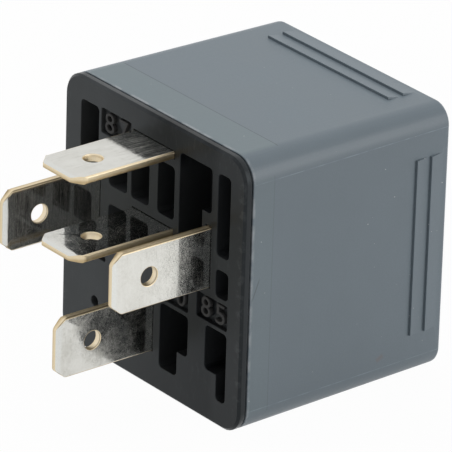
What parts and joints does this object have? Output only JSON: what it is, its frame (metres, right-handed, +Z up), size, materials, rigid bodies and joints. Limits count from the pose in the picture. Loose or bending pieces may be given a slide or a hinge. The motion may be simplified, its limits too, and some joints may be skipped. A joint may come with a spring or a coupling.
{
  "type": "automotive relay",
  "caption": "Plug-in changeover relay: grey ridged cover snapped over a black ribbed base with flat blade terminals; inside, a coil and yoke rock an armature with a sprung contact.",
  "frame": {"origin": "centre of the terminal face, the plane that seats on the socket", "axes": "-Y the way the blades point, +Y towards the closed end of the cover, +Z up as the relay lies on its side with blade 87 uppermost"},
  "size_m": [0.028, 0.0367, 0.0284],
  "materials": {
    "cover_plastic": "moulded glass-filled nylon, satin",
    "base_plastic": "moulded glass-filled nylon, satin",
    "terminal_brass": "bright tin plate on the faces, bare brass on the stamped edges",
    "contact_silver": "dull silver alloy",
    "spring_bronze": "rolled phosphor bronze",
    "magnet_steel": "zinc-plated soft iron",
    "rivet_steel": "plain steel",
    "bobbin_plastic": "natural nylon",
    "copper_wire": "enamelled copper"
  },
  "bodies": {
    "housing": {"base": "base_plastic", "cover": "cover_plastic", "terminal_30": "terminal_brass", "terminal_85": "terminal_brass", "terminal_86": "terminal_brass", "terminal_87": "terminal_brass", "terminal_87a": "terminal_brass", "fixed_contact_87": "contact_silver", "fixed_contact_87a": "contact_silver", "yoke": "magnet_steel", "yoke_rivets": "rivet_steel", "terminal_30_rivet": "rivet_steel", "core": "magnet_steel", "bobbin": "bobbin_plastic", "coil_winding": "copper_wire", "coil_lead_85": "copper_wire", "coil_lead_86": "copper_wire"},
    "armature": {"armature": "magnet_steel", "armature_rivets": "rivet_steel", "moving_contact": "contact_silver", "contact_spring": "spring_bronze"}
  },
  "joints": [
    {"name": "armature_hinge", "type": "hinge", "parent": "housing", "child": "armature", "pos_m": [0, 0.01783, -0.0097], "axis": [1, 0, 0], "range_deg": [0, 3], "stiffness_Nm_per_rad": 0.02, "springref_deg": -8.59, "deforming": ["contact_spring"]}
  ]
}
